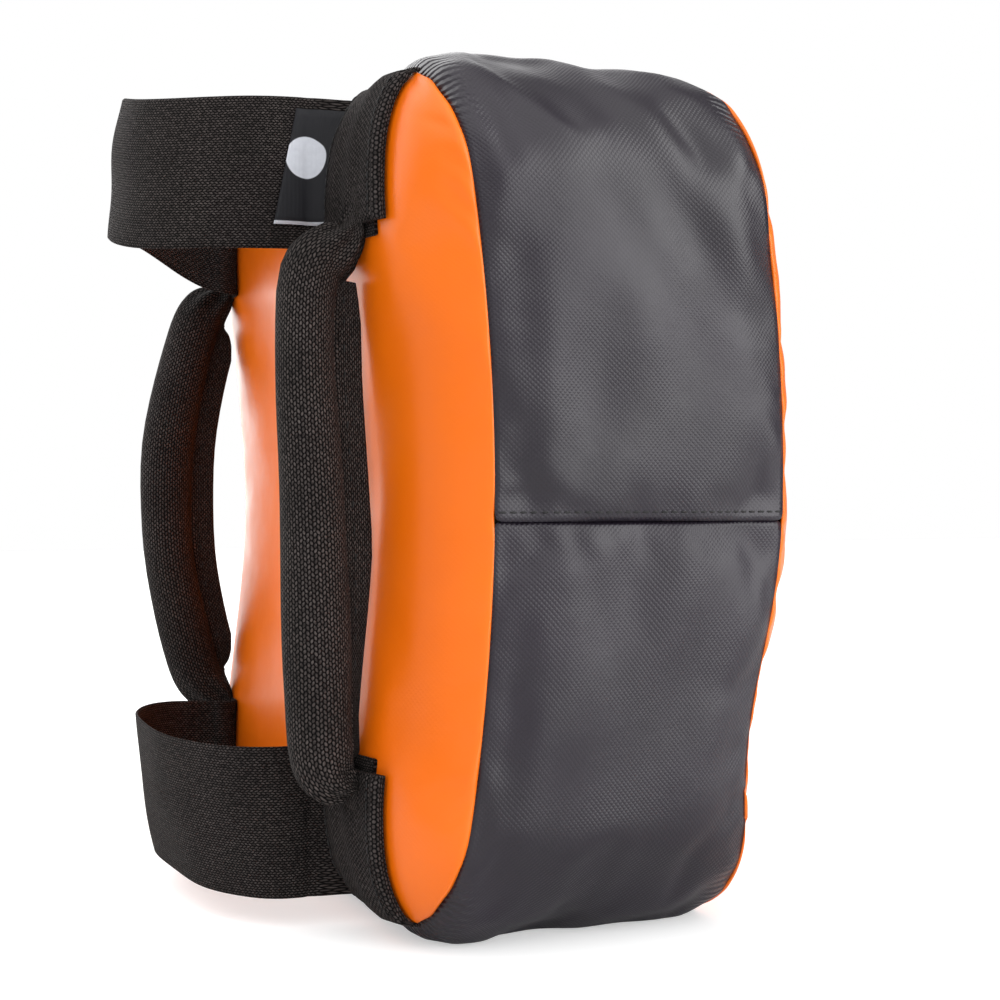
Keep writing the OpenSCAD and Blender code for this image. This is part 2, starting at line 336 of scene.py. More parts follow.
def woven(name, gap, yarn_with_highlight, along, across, slant):
    """Coarse woven webbing or elastic, whose yarns show as seeds in staggered columns. along and across
    are a seed's length and width in metres, and neighbouring columns slant opposite ways. Each seed is
    painted lighter towards its crown as a highlight, and the gaps between the yarns are painted near
    black as shade."""
    n = Nodes(name)
    place, u, v = n.uv()
    loose = n.math("MULTIPLY_ADD", n.noise(place, 260.0, 2.0), 0.9 * MM, -0.45 * MM)
    column = n.math("DIVIDE", n.math("ADD", v, loose), across)
    odd = n.math("FLOORED_MODULO", n.math("FLOOR", column), 2.0)
    side = n.math("MULTIPLY_ADD", n.math("FRACT", column), 2.0, -1.0)
    lean = n.math("MULTIPLY", side, n.math("MULTIPLY_ADD", odd, slant, -slant / 2))
    row = n.math("ADD", n.math("DIVIDE", u, along), n.math("MULTIPLY_ADD", odd, 0.5, lean))
    end = n.math("MULTIPLY_ADD", n.math("FRACT", row), 2.0, -1.0)
    far = n.math("ADD", n.math("MULTIPLY", side, side), n.math("MULTIPLY", end, end))
    seed = n.math("SQRT", n.math("MAXIMUM", n.math("SUBTRACT", 1.0, far), 0.0))
    fuzz = n.noise(place, 2600.0, 2.0)
    yarns = n.ramp(n.noise(place, 420.0, 2.0), 0.3, 0.7, 0.3, 1.0)
    # Painted light: tone runs from near black at each seed's rim and between the yarns, which is painted shade,
    # to full at the seed's crown, which is a painted highlight
    tone = n.math("MULTIPLY", n.ramp(seed, 0.35, 0.95, 0.0, 1.0), yarns)
    tone = n.math("MULTIPLY", tone, n.ramp(n.noise(place, 28.0, 3.0), 0.3, 0.7, 0.7, 1.0))
    weave_with_painted_shade = n.mix(tone, gap, yarn_with_highlight)
    normal = n.bump(seed, 0.7 * MM, 1.0)
    normal = n.bump(fuzz, 0.12 * MM, 0.6, normal)
    return n.finish(Base_Color=weave_with_painted_shade, Roughness=0.9, Normal=normal, Specular_IOR_Level=0.12)


def thread_material():
    n = Nodes("thread")
    place = n.add("ShaderNodeTexCoord").outputs["Object"]
    twist = n.noise(place, 1800.0, 2.0)
    normal = n.bump(twist, 0.15 * MM, 0.8)
    return n.finish(
        Base_Color=n.mix(twist, (0.003, 0.003, 0.003, 1), (0.02, 0.019, 0.02, 1)),
        Roughness=0.7,
        Normal=normal,
    )


def foam_material():
    n = Nodes("open_foam")
    place = n.add("ShaderNodeTexCoord").outputs["Object"]
    cells = n.add("ShaderNodeTexVoronoi", {"Vector": place, "Scale": 450.0}).outputs["Distance"]
    return n.finish(
        Base_Color=n.mix(cells, (0.45, 0.42, 0.34, 1), (0.8, 0.77, 0.68, 1)),
        Roughness=0.9,
        Normal=n.bump(cells, 0.6 * MM, 0.8),
    )


LABEL_W = 36 * MM
LABEL_H = 61 * MM
LABEL_DISC = 11 * MM  # radius of its plain disc
LABEL_SLANT = 12 * MM  # how much shorter the label is at its top than at its bottom


def satin_material():
    """Black woven satin with a plain light disc and a white folded edge. u runs along the strap and v
    across it."""
    n = Nodes("satin_label")
    place, u, v = n.uv()
    du = n.math("SUBTRACT", u, LABEL_W * 0.52)
    dv = n.math("SUBTRACT", v, LABEL_H * 0.58)
    far = n.math("SQRT", n.math("ADD", n.math("MULTIPLY", du, du), n.math("MULTIPLY", dv, dv)))
    disc = n.ramp(far, LABEL_DISC - 0.3 * MM, LABEL_DISC + 0.3 * MM, 1.0, 0.0)
    edge = n.ramp(v, 1.6 * MM, 2.0 * MM, 1.0, 0.0)
    warp = n.wave(u, 0.7 * MM)
    weft = n.wave(v, 0.5 * MM)
    weave = n.math("ADD", warp, weft)
    light = n.math("MAXIMUM", disc, edge)
    tone = n.mix(n.noise(place, 300.0), (0.58, 0.60, 0.66, 1), (0.72, 0.74, 0.80, 1))
    return n.finish(
        Base_Color=n.mix(light, (0.006, 0.006, 0.009, 1), tone),
        Roughness=0.5,
        Normal=n.bump(weave, 0.08 * MM, 0.5),
        Specular_IOR_Level=0.3,
    )


BLACK_VINYL = vinyl(
    "black_vinyl", (0.014, 0.0095, 0.0175, 1), (0.010, 0.007, 0.0125, 1), 0.36, 0.32 * MM, 0.5, pleated=True,
)
ORANGE_VINYL = vinyl(
    "orange_vinyl", (0.90, 0.165, 0.001, 1), (0.85, 0.148, 0.001, 1), 0.34, 0.06 * MM, 0.42, pleated=False,
)
# In each woven colour pair, the near-black colour is painted shade for the gaps between yarns, and the lighter
# one is the yarn's colour with a painted highlight at its crown
ELASTIC = woven("elastic", (0.0022, 0.0016, 0.0016, 1), (0.088, 0.074, 0.070, 1), 2.3 * MM, 1.35 * MM, 0.45)
WEBBING = woven("webbing", (0.0016, 0.0012, 0.0012, 1), (0.098, 0.083, 0.078, 1), 2.6 * MM, 1.6 * MM, 0.35)
RIBBED = woven("ribbed_webbing", (0.0022, 0.0016, 0.0016, 1), (0.085, 0.072, 0.069, 1), 2.4 * MM, 1.5 * MM, 0.0)
THREAD = thread_material()
FOAM = foam_material()
SATIN = satin_material()


# ---- Cover ----

SIDE_CELLS = 72  # cells along each side of the outline
BAND_CELLS = 28  # cells across the band
RING_BIAS = 1.4  # packs the panels' cells towards their seams
PUFF_EDGE = 5  # how close to its seam a panel stays full
PUFF_ROUND = 0.8  # how upright it leaves the seam


def side_point(q, a, b):
    """Point of the outline on the side facing out along its first axis. q is -1 to 1 along the side,
    a and b are the half sizes along the first and second axes."""
    flat = b - CORNER_R
    run = q * (flat + CORNER_R * math.pi / 4)
    if abs(run) <= flat:
        return a, run
    turn = (abs(run) - flat) / CORNER_R
    return a - CORNER_R + CORNER_R * math.cos(turn), math.copysign(flat + CORNER_R * math.sin(turn), run)


def outline_point(u, v):
    """Outline point, from the middle, for a point u, v on the rim of the square from -1 to 1."""
    if abs(u) >= abs(v):
        x, z = side_point(v / abs(u), HALF_W, HALF_H)
        return math.copysign(x, u), z
    z, x = side_point(u / abs(v), HALF_H, HALF_W)
    return x, math.copysign(z, v)


def puff(s):
    return (1 - min(s, 1.0) ** PUFF_EDGE) ** PUFF_ROUND


END_TUCK = 7 * MM  # how far the back seam is drawn in at the shield's ends
SLUMP = 14 * MM  # how far the strike seam has sunk low on both sides
SLUMP_Z = -125 * MM
FLATTENED = 0.5  # share of the strike face's bulge that is lost by its worn seam
TUCK_REACH = 7 * MM  # how quickly the band regains its height from the drawn-in seam


def end_share(z):
    """1 at the shield's ends and 0 away from them."""
    return float(smooth(abs(z), HALF_H - 75 * MM, HALF_H - 15 * MM))


def face_y(y_mid, bulge, x, z, s):
    """Y of a stuffed face whose seam's middle is at y_mid. s is the share of the way from its middle to its
    seam. A strike face has sunk low on both sides, and is flatter by its seam there and near the top."""
    if bulge <= 0:
        return y_mid - sag(z) + bulge * puff(s)
    by_seam = float(smooth(s, 0.5, 0.85))
    worn = float(max(smooth(-z, 50 * MM, 120 * MM), smooth(z, 130 * MM, 190 * MM)))
    sunk = SLUMP * bell(z, SLUMP_Z, 70 * MM)
    sunk *= float(smooth(s, 0.55, 1)) * float(smooth(abs(x), 0.5 * HALF_W, HALF_W))
    return y_mid - sag(z) + bulge * puff(s) * (1 - FLATTENED * worn * by_seam) - sunk


def panel_points(y_mid, bulge):
    """Rows of points over a stuffed panel, from lowest to highest."""
    steps = np.linspace(-1, 1, SIDE_CELLS + 1)
    points = []
    for v in steps:
        for u in steps:
            m = max(abs(u), abs(v))
            s = 1 - (1 - m) ** RING_BIAS
            x, z = outline_point(u, v) if m > 1e-9 else (0.0, 0.0)
            x, z = x * s, z * s
            z += SEAM_Z * bell(z, 0, 120 * MM)
            y = face_y(y_mid, bulge, x, z, s)
            if bulge < 0:
                z -= math.copysign(END_TUCK, z) * end_share(z) * float(smooth(s, 0.75, 1))
            points.append((x, y, MID_Z + z))
    return np.array(points)


def cover_mesh():
    """The whole cover as one closed mesh. Returns its points, faces, the part each face belongs to, and each
    point's place across the band: 0 at the back seam, 1 at the strike seam, and outside that on a panel."""
    back = panel_points(BACK_MID, -BACK_BULGE)
    strike = panel_points(STRIKE_MID, STRIKE_BULGE)
    rim = grid_rim(SIDE_CELLS + 1, SIDE_CELLS + 1)
    n = len(rim)
    grid = (SIDE_CELLS + 1) ** 2
    faces = grid_faces(SIDE_CELLS + 1, SIDE_CELLS + 1)
    parts = ["back_panel"] * len(faces)
    faces += [tuple(reversed([i + grid for i in f])) for f in faces]
    parts += ["strike_panel"] * len(parts)
    between = []
    for k in range(1, BAND_CELLS):
        t = k / BAND_CELLS
        full = 1 - math.exp(-t * DEPTH / TUCK_REACH)
        for i in rim:
            p = back[i] * (1 - t) + strike[i] * t
            p[2] = strike[i][2] * full + back[i][2] * (1 - full)
            between.append(p)
    points = np.vstack([back, strike, np.array(between)])
    rings = np.repeat(np.arange(1, BAND_CELLS), n) / BAND_CELLS
    across = np.concatenate([np.full(grid, -1.0), np.full(grid, 2.0), rings])
    across[rim] = 0.0
    across[[grid + i for i in rim]] = 1.0

    def ring(k):
        if k == 0:
            return rim
        if k == BAND_CELLS:
            return [grid + i for i in rim]
        return [2 * grid + (k - 1) * n + i for i in range(n)]

    for k in range(BAND_CELLS):
        low, high = ring(k), ring(k + 1)
        for i in range(n):
            j = (i + 1) % n
            faces.append((low[i], high[i], high[j], low[j]))
            z = sum(points[x][2] for x in faces[-1]) / 4
            parts.append("upper_side_band" if z > MID_Z + SEAM_Z else "lower_side_band")
    return points, faces, parts, across


def outward(points):
    """Unit vectors out from the outline, in X and Z, for points on the band."""
    x, z = points[:, 0], points[:, 2] - MID_Z
    cx = np.clip(x, -(HALF_W - CORNER_R), HALF_W - CORNER_R)
    cz = np.clip(z, -(HALF_H - CORNER_R), HALF_H - CORNER_R)
    d = np.stack([x - cx, np.zeros_like(x), z - cz], axis=1)
    size = np.linalg.norm(d, axis=1)
    size[size == 0] = 1
    return d / size[:, None]


def dress_band(points, across):
    """Stuffed shape of the band: sunk seams, a soft crown, wrinkles, and the puckers by the middle seam."""
    on = (across >= 0) & (across <= 1)
    t = np.clip(across, 0, 1)
    x, z = points[:, 0], points[:, 2] - MID_Z
    deep = t * DEPTH
    from_seam = np.minimum(deep, DEPTH - deep)
    lift = 3.0 * MM * smooth(from_seam, 0, 30 * MM) - 1.6 * MM * (1 - smooth(from_seam, 0, 5 * MM))
    side = np.sign(x) * smooth(np.abs(x), HALF_W - CORNER_R, HALF_W)
    # A soft valley runs beside the back seam
    valley = bell(deep, 16 * MM + 3 * MM * np.sin(z * 18), 9 * MM)
    valley *= smooth(z, -190 * MM, -120 * MM) * (1 - smooth(z, 40 * MM, 150 * MM))
    lift -= 2.6 * MM * valley * np.abs(side)
    # Broad wrinkles near the upper end
    slant = (deep * 0.9 + z * 0.55) / (38 * MM)
    high = smooth(z, 60 * MM, 150 * MM) * smooth(deep, 50 * MM, 120 * MM)
    lift += 1.5 * MM * np.sin(2 * math.pi * slant + 0.8) * high
    rough = fold_noise(deep / (70 * MM), z / (120 * MM) + side, 4)
    lift += 1.1 * MM * rough * smooth(from_seam, 0, 20 * MM)
    # Puckers fan out below the cross seam, most of them near the back
    below = np.clip(SEAM_Z - z, 0, None)
    fan = (deep - 10 * MM) / (1 + below / (90 * MM)) / (17 * MM)
    pucker = np.sin(2 * math.pi * fan) * np.exp(-below / (42 * MM)) * smooth(below, 0, 4 * MM)
    lift += 1.1 * MM * pucker * bell(deep, 35 * MM, 45 * MM) * np.abs(side)
    above = np.clip(z - SEAM_Z, 0, None)
    lift -= 1.0 * MM * np.exp(-above / (7 * MM)) * (z > SEAM_Z - MM)
    # Gathers at the end corners, where the band turns
    end = smooth(np.abs(z), HALF_H - CORNER_R, HALF_H - 4 * MM)
    turn = np.arctan2(np.abs(z) - HALF_H + CORNER_R, np.abs(x) - HALF_W + CORNER_R)
    gather = np.sin(turn * 16) * end * smooth(np.abs(x), HALF_W - 80 * MM, HALF_W - 40 * MM)
    lift += 0.8 * MM * gather * (bell(deep, 0, 26 * MM) + bell(deep, DEPTH, 26 * MM))
    return points + outward(points) * (lift * on)[:, None]


LAP_LIFT = 1.5 * MM
BAND_CAP = 4.5 * MM  # the furthest that the simulation may move the band's cloth
PANEL_CAP = 1.8 * MM  # and the panels'


def settle_cloth(points, faces, across):
    """Lets the cover's cloth relax over its foam with a little air in it, held at its seams."""
    obj = make_object("cover_cloth", points, faces)
    seam = bell(across, 0, 0.012) + bell(across, 1, 0.012)
    middle = bell(points[:, 2] - MID_Z, SEAM_Z, 2 * MM) * ((across > 0) & (across < 1))
    pinned = np.clip(seam + middle, 0, 1)
    group = obj.vertex_groups.new(name="held")
    for i, w in enumerate(pinned):
        if w > 0.05:
            group.add([i], float(w), "REPLACE")
    m = modifier(obj, "CLOTH")
    cloth = m.settings
    cloth.quality = 6
    cloth.mass = 0.3
    cloth.tension_stiffness = 40
    cloth.compression_stiffness = 40
    cloth.shear_stiffness = 20
    cloth.bending_stiffness = 4.0
    cloth.use_pressure = True
    cloth.uniform_pressure_force = 3.0
    cloth.shrink_min = -0.02
    cloth.vertex_group_mass = "held"
    cloth.effector_weights.gravity = 0
    m.collision_settings.use_collision = False
    for f in range(1, 21):
        bpy.context.scene.frame_set(f)
    dg = bpy.context.evaluated_depsgraph_get()
    mesh = obj.evaluated_get(dg).to_mesh()
    moved = np.array([v.co for v in mesh.vertices])
    obj.evaluated_get(dg).to_mesh_clear()
    bpy.context.scene.frame_set(1)
    bpy.data.objects.remove(obj)
    return moved


def capped(points, moved, cap):
    """The moved points, none of them further than its cap from where it started."""
    step = moved - points
    size = np.linalg.norm(step, axis=1)
    size[size == 0] = 1
    return points + step * (np.tanh(size / cap) * cap / size)[:, None]


def cover_uv(part, points, across):
    """Flat cloth coordinates in metres: X and Z on a panel, and length round by depth on the band."""
    if part.endswith("panel"):
        return [(p[0], p[2]) for p in points]
    x, z = points[:, 0], points[:, 2] - MID_Z
    cx, cz = HALF_W - CORNER_R, HALF_H - CORNER_R
    turn = np.arctan2(np.clip(np.abs(z) - cz, 0, None), np.clip(np.abs(x) - cx, 1e-6, None))
    on_end = np.abs(x) < cx
    run = np.where(
        on_end,
        cz + CORNER_R * math.pi / 2 + (cx - np.abs(x)),
        np.minimum(np.abs(z), cz) + CORNER_R * turn,
    )
    return list(zip(np.clip(across, 0, 1) * DEPTH, run * np.sign(z)))


def split_cover(points, faces, parts, across):
    """One object for each sewn piece of vinyl."""
    pieces = {}
    for part in dict.fromkeys(parts):
        own = [f for f, p in zip(faces, parts) if p == part]
        used = sorted({i for f in own for i in f})
        index = {old: new for new, old in enumerate(used)}
        pts = points[used].copy()
        if part == "upper_side_band":
            # Folded edge of the upper band, lapped over the lower one
            over = bell(pts[:, 2] - MID_Z, SEAM_Z, 7 * MM)
            pts += outward(pts) * (LAP_LIFT * over)[:, None]
        uvs = cover_uv(part, pts, across[used])
        material = ORANGE_VINYL if part.endswith("panel") else BLACK_VINYL
        obj = make_object(f"{part}_vinyl", pts, [tuple(index[i] for i in f) for f in own], material, uvs)
        modifier(obj, "SUBSURF", levels=1, render_levels=1)
        apply_modifiers(obj)
        modifier(obj, "SOLIDIFY", thickness=SKIN, offset=-1.0)
        apply_modifiers(obj)
        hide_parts(part)
        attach(obj, "shield")
        pieces[part] = obj
    return pieces


def build_cover():
    points, faces, parts, across = cover_mesh()
    cap = np.where((across < 0) | (across > 1), PANEL_CAP, BAND_CAP)
    points = capped(points, settle_cloth(points, faces, across), cap)
    points = dress_band(points, across)
    # The lower end is flat where it stands, and nothing goes below it
    points[:, 2] = np.maximum(points[:, 2], 0.3 * MM)
    return split_cover(points, faces, parts, across)


COVER = build_cover()


def surface_of(*objects):
    verts, polys = [], []
    for obj in objects:
        start = len(verts)
        verts += [v.co.copy() for v in obj.data.vertices]
        polys += [tuple(start + i for i in p.vertices) for p in obj.data.polygons]
    return BVHTree.FromPolygons(verts, polys)


BACK_TREE = surface_of(COVER["back_panel"], COVER["upper_side_band"], COVER["lower_side_band"])


def back_out(x, z):
    """How far out the back of the cover lies at x and at height z above the shield's middle."""
    hit = BACK_TREE.ray_cast(Vector((x, -1.0, MID_Z + z)), Vector((0, 1, 0)))[0]
    return BACK_MID - (hit.y if hit else BACK_MID)


# ---- Foam ----

FOAM_INSET = 9 * MM
FOAM_DEPTH = 7 * MM  # how far the foam's crowned faces lie under the cover's seams


def foam_block(name, y_low, bulge_low, y_high, bulge_high, node):
    """A foam layer between two faces, a little smaller than the cover so that it stays inside it."""
    n = 24
    steps = np.linspace(-1, 1, n + 1)
    shrink = 1 - FOAM_INSET / HALF_W
    rows = []
    for y_mid, bulge in ((y_low, bulge_low), (y_high, bulge_high)):
        for v in steps:
            for u in steps:
                m = max(abs(u), abs(v))
                x, z = outline_point(u, v) if m > 1e-9 else (0.0, 0.0)
                x, z = x * m * shrink, z * m * shrink
                rows.append((x, face_y(y_mid, bulge, x, z, m), MID_Z + z))
    # The first face is the one at the back, so the slab's faces are turned round
    faces = [tuple(reversed(f)) for f in slab_faces(n + 1, n + 1)]
    obj = make_object(name, rows, faces, FOAM)
    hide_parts(node)
    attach(obj, "shield")
    return obj


def build_foam():
    back = BACK_MID + 25 * MM
    strike = STRIKE_MID - 30 * MM
    gap = 1 * MM
    foam_block("back_foam_layer", BACK_MID + FOAM_DEPTH, -BACK_BULGE * 0.95, back, 0, "back_foam")
    foam_block("core_foam_block", back + gap, 0, strike - gap, 0, "core_foam")
    foam_block("strike_foam_layer", strike, 0, STRIKE_MID - FOAM_DEPTH, STRIKE_BULGE * 0.95, "strike_foam")


build_foam()


# ---- Ribbons: straps, patches and label ----


PATCH_T = 3.6 * MM
STRAP_T = 1.8 * MM
LIE_GAP = 0.3 * MM  # between a strap's sewn end and what it lies on or under
PATCH_LIFT = LIE_GAP * 2 + STRAP_T
STITCH_PITCH = 5.4 * MM
STITCH_LENGTH = 4.4 * MM


def stitches(name, places, directions, normals, radius=0.42 * MM):
    """Short rounded stitches, one at each place."""
    verts, faces = [], []
    ring = 6
    profile = [(-0.5, 0.25, -0.9), (-0.36, 0.9, 0.0), (0.0, 1.0, 0.35), (0.36, 0.9, 0.0), (0.5, 0.25, -0.9)]
    for p, d, nrm in zip(places, directions, normals):
        d, nrm = Vector(d).normalized(), Vector(nrm).normalized()
        w = d.cross(nrm).normalized()
        start = len(verts)
        for a, r, up in profile:
            for k in range(ring):
                angle = 2 * math.pi * k / ring
                spoke = w * math.cos(angle) + nrm * math.sin(angle)
                verts.append(Vector(p) + d * (a * STITCH_LENGTH) + spoke * (radius * r) + nrm * (radius * up))
        faces += [tuple(start + i for i in f) for f in tube_faces(len(profile), ring)]
    obj = make_object(name, verts, faces, THREAD)
    return obj


def anchor_patch(name, hand, side, lift, t):
    """A patch of folded webbing that lies on the back of the cover, lift above the vinyl. Its outer edge is
    a thick rolled fold, and gathers run into it from the grip's sewn end."""
    nx, nz = 44, 48
    x_mid, z_mid, w, h = hand * GRIP_X, side * PATCH_RISE, PATCH_W, PATCH_H
    verts, uvs = [], []
    xs, zs = np.linspace(-0.5, 0.5, nx + 1), np.linspace(-0.5, 0.5, nz + 1)
    for face in (0, 1):
        for b in zs:
            for a in xs:
                inward = 0.5 - a * hand  # 0 at the outer edge and 1 at the inner one
                end = b * side  # -0.5 at the grip's end and 0.5 at the shield's end
                x = x_mid + a * w + hand * inward * (0.5 + end) * 8 * MM
                z = z_mid + b * h
                from_outer = inward * w
                near = math.hypot(a * w, (end + 0.5) * h)
                gather = math.sin(9 * math.atan2((end + 0.5) * h + MM, a * w)) * math.exp(-near / (15 * MM))
                rim = min(0.5 - abs(a), 0.5 - abs(b)) * 2
                up = lift + (t * (0.75 + 0.25 * min(1, rim * 12)) if face else 0)
                fold = 1.6 * MM * bell(from_outer, 2.6 * MM, 2.4 * MM)
                up += face * (fold - 0.7 * MM * bell(from_outer, 7 * MM, 1.6 * MM))
                up += face * (0.9 * MM * gather + 0.35 * MM * math.sin(from_outer / (3.4 * MM) + 2.5 * end))
                verts.append((x, at_out(back_out(x, z) + up), MID_Z + z))
                spread = 1 if face else 1 + 2 * t / w
                uvs.append((b * h * spread, a * w * spread))
    return make_object(name, verts, slab_faces(nz + 1, nx + 1), RIBBED, uvs)


def build_patches():
    """Four anchor patches of folded webbing with a row of stitches up each long edge."""
    places, directions, normals = [], [], []
    for hand, hand_name in ((1, "right"), (-1, "left")):
        for side, side_name in ((1, "upper"), (-1, "lower")):
            x, z = hand * GRIP_X, side * PATCH_RISE
            name = f"{hand_name}_{side_name}_anchor"
            obj = anchor_patch(f"{name}_patch", hand, side, PATCH_LIFT, PATCH_T)
            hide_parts(name)
            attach(obj, "shield")
            for edge in (-1, 1):
                for k in np.arange(-PATCH_H / 2 + 6 * MM, PATCH_H / 2 - 5 * MM, STITCH_PITCH):
                    narrow = 8 * MM * (0.5 + side * k / PATCH_H) if edge != hand else 0
                    ex = x + edge * (PATCH_W / 2 - (8.5 * MM if edge == hand else 4 * MM) - narrow)
                    zz = z + k
                    up = PATCH_LIFT + PATCH_T
                    slope = (back_out(ex, zz + MM) - back_out(ex, zz - MM)) / (2 * MM)
                    places.append((ex, at_out(back_out(ex, zz) + up), MID_Z + zz))
                    directions.append((0, -slope, 1))
                    normals.append((0, -1, -slope))
    obj = stitches("anchor_patch_stitching", places, directions, normals)
    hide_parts("anchor_stitching")
    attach(obj, "shield")


build_patches()

# Each strap's run seen along Z: (x, out) in millimetres from its right sewn end, over the loop, to its left
# one. The upper loop peaks on its right, the lower one has slumped to its left.
UPPER_RUN = [
    (152, 0), (130, 0), (114, 0), (104, 0), (98, 4), (95, 12),
    (95, 68), (93, 86), (88, 104), (79, 121), (64, 135), (44, 144), (20, 147),
    (-8, 145), (-36, 138), (-62, 126), (-84, 109), (-97, 90), (-100, 76), (-98, 66),
    (-95, 12), (-98, 4), (-104, 0), (-114, 0), (-130, 0), (-152, 0),
]
LOWER_RUN = [
    (152, 0), (130, 0), (114, 0), (104, 0), (98, 4), (95, 12),
    (96, 66), (94, 80), (87, 93), (73, 105), (53, 115), (28, 121.5), (0, 124.5),
    (-27, 124), (-54, 118), (-78, 106), (-94, 91), (-99, 77), (-98, 66),
    (-95, 12), (-98, 4), (-104, 0), (-114, 0), (-130, 0), (-152, 0),
]
LYING_BELOW = 20  # outs below this are heights above the vinyl
LYING_BEND = (52 * MM, 58 * MM)  # the outs over which a strap leaves the vinyl
FREE_BEND = (56 * MM, 120 * MM)  # and over which its loop becomes free to slump


def strap_centre(side, run):
    """Points of a strap's middle line, in x and out."""
    z = side * STRAP_RISE
    lie = LIE_GAP + STRAP_T / 2
    points = []
    for x, out in run:
        x, out = x * MM, out * MM
        if out < LYING_BELOW * MM:
            out += back_out(x, z) + lie
        points.append((x, out))
    return curve_through(points, 190)


def rise(x, out, lean_z):
    """How far the loop has lifted along Z: hardly at all by its right leg, and most at the left of its
    top."""
    leftward = float(smooth(-x, -85 * MM, 60 * MM))
    return lean_z * float(smooth(out, *FREE_BEND)) * (1.05 * leftward - 0.05)


def build_strap(side, name, node, run, lean_z, lean_out):
    """side is 1 for the upper strap. lean_z is the most that the loop lifts along Z, and lean_out is how
    much further out its inner edge stands than its middle."""
    line = strap_centre(side, run)
    z_mid = side * STRAP_RISE
    cells = 18
    v = np.linspace(-0.5, 0.5, cells + 1)
    normal = quarter_turned(line)  # out of the loop
    if normal[len(line) // 2][1] < 0:
        normal = -normal
    along = lengths_along(line)
    half = STRAP_T / 2
    edge = 0.5 + half / STRAP_W
    loop = [(a, 1) for a in v] + [(edge, 0)] + [(a, -1) for a in v[::-1]] + [(-edge, 0)]
    verts, uvs = [], []
    for i, (x, out) in enumerate(line):
        free = float(smooth(out, *FREE_BEND))
        lying = 1 - float(smooth(out, *LYING_BEND))
        for a, face in loop:
            z = z_mid + a * STRAP_W + rise(x, out, lean_z)
            sway = lean_out * free * (-a * side) * 2
            ripple = 0.7 * MM * free * float(fold_noise(along[i] / 0.09, a * 1.3, 11 + side))
            bow = -1.6 * MM * (2 * a) ** 2 * free
            px = x + normal[i][0] * (face * half + ripple + bow)
            po = out + sway + normal[i][1] * (face * half + ripple + bow)
            if lying > 0:
                own = back_out(px, a * STRAP_W + z_mid) - back_out(px, z_mid)
                po += own * lying
            verts.append((px, at_out(po), MID_Z + z))
            uvs.append((along[i], (a + 0.5) * STRAP_W))
    cols = len(loop)
    faces = grid_faces(len(line), cols, close_cols=True)
    faces.append(tuple(range(cols)))
    faces.append(tuple(reversed(range((len(line) - 1) * cols, len(line) * cols))))
    obj = make_object(name, verts, faces, ELASTIC, uvs)
    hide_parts(node, f"{'upper' if side > 0 else 'lower'}_strap_ends")
    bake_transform(obj)
    return line, normal, along


UPPER_LEAN = 23 * MM
UPPER_LINE, UPPER_NORMAL, UPPER_ALONG = build_strap(
    1, "upper_elastic_strap", "upper_forearm_strap", UPPER_RUN, UPPER_LEAN, 4 * MM
)
build_strap(-1, "lower_elastic_strap", "lower_forearm_strap", LOWER_RUN, 4 * MM, 5.5 * MM)


def build_label():
    """Satin label tucked under the right upper patch and lying on the strap's right leg."""
    line, normal, along = UPPER_LINE, UPPER_NORMAL, UPPER_ALONG
    start = next(a for a, p in zip(along, line) if p[0] < GRIP_X - PATCH_W / 2 + 9 * MM)
    nu, nv = 20, 14
    verts, uvs = [], []
    for face in (0, 1):
        for f in np.linspace(0, 1, nu + 1):
            for b in np.linspace(0, 1, nv + 1):
                run = f * (LABEL_W - LABEL_SLANT * b)
                rows = (*line.T, *normal.T)
                x, out, side_x, side_out = (float(np.interp(start + run, along, row)) for row in rows)
                lying = 1 - float(smooth(out, *LYING_BEND))
                peel = 1.6 * MM * float(smooth(run / LABEL_W, 0.4, 1.0))
                z = STRAP_RISE + 3 * MM + (b - 0.5) * LABEL_H + rise(x, out, UPPER_LEAN)
                off = STRAP_T / 2 + 0.5 * MM + 0.4 * MM * face + peel * (1 - 0.6 * b)
                fall = (back_out(x, z) - back_out(x, STRAP_RISE)) * lying
                verts.append((x + side_x * off, at_out(out + side_out * off + fall), MID_Z + z))
                uvs.append((run, b * LABEL_H))
    obj = make_object("satin_label", verts, slab_faces(nu + 1, nv + 1), SATIN, uvs)
    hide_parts("label")
    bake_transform(obj)


build_label()


# ---- Grips ----

ROLL_R = 16 * MM
FLANGE_T = 3.4 * MM
FLANGE_LEAST = 4 * MM
SLEEVE_T = 3.5 * MM
HANG_LEAN = 0.25  # share of the grip's own slope that its flange follows round the bends
NECK_W = 32 * MM
NECK_T = 5 * MM
GRIP_ROWS = 170  # sections along a grip
SECTION_POINTS = 96
FLANGE_SHARE = 0.16  # part of the section's points on each face of the flange


def teardrop(k, roll, flange):
    """Point k of the grip's section: x across, y out from the panel, from the roll's middle. It starts at
    the flange's edge, runs round the roll and comes back."""
    t = k / SECTION_POINTS
    half = FLANGE_T / 2
    open_at = math.asin(min(0.95, half / roll))
    side = 1 if t < 0.5 else -1
    from_edge = min(t, 1 - t) / FLANGE_SHARE
    if from_edge < 1:
        blunt = math.sqrt(1 - (1 - min(1, from_edge * 5)) ** 2)
        return side * half * blunt, -roll * math.cos(open_at) - flange * (1 - from_edge)
    f = (t - FLANGE_SHARE) / (1 - 2 * FLANGE_SHARE)
    angle = -math.pi / 2 + open_at + f * (2 * math.pi - 2 * open_at)
    return roll * math.cos(angle), roll * math.sin(angle)


def flat_section(k):
    """The same loop squeezed flat."""
    angle = -math.pi / 2 + 2 * math.pi * k / SECTION_POINTS
    return NECK_W / 2 * math.cos(angle), NECK_T / 2 * math.sin(angle)


FLANGE_MOST = 15 * MM
SWING_REACH = 15 * MM  # how far to one side a grip's flange gets as it swings


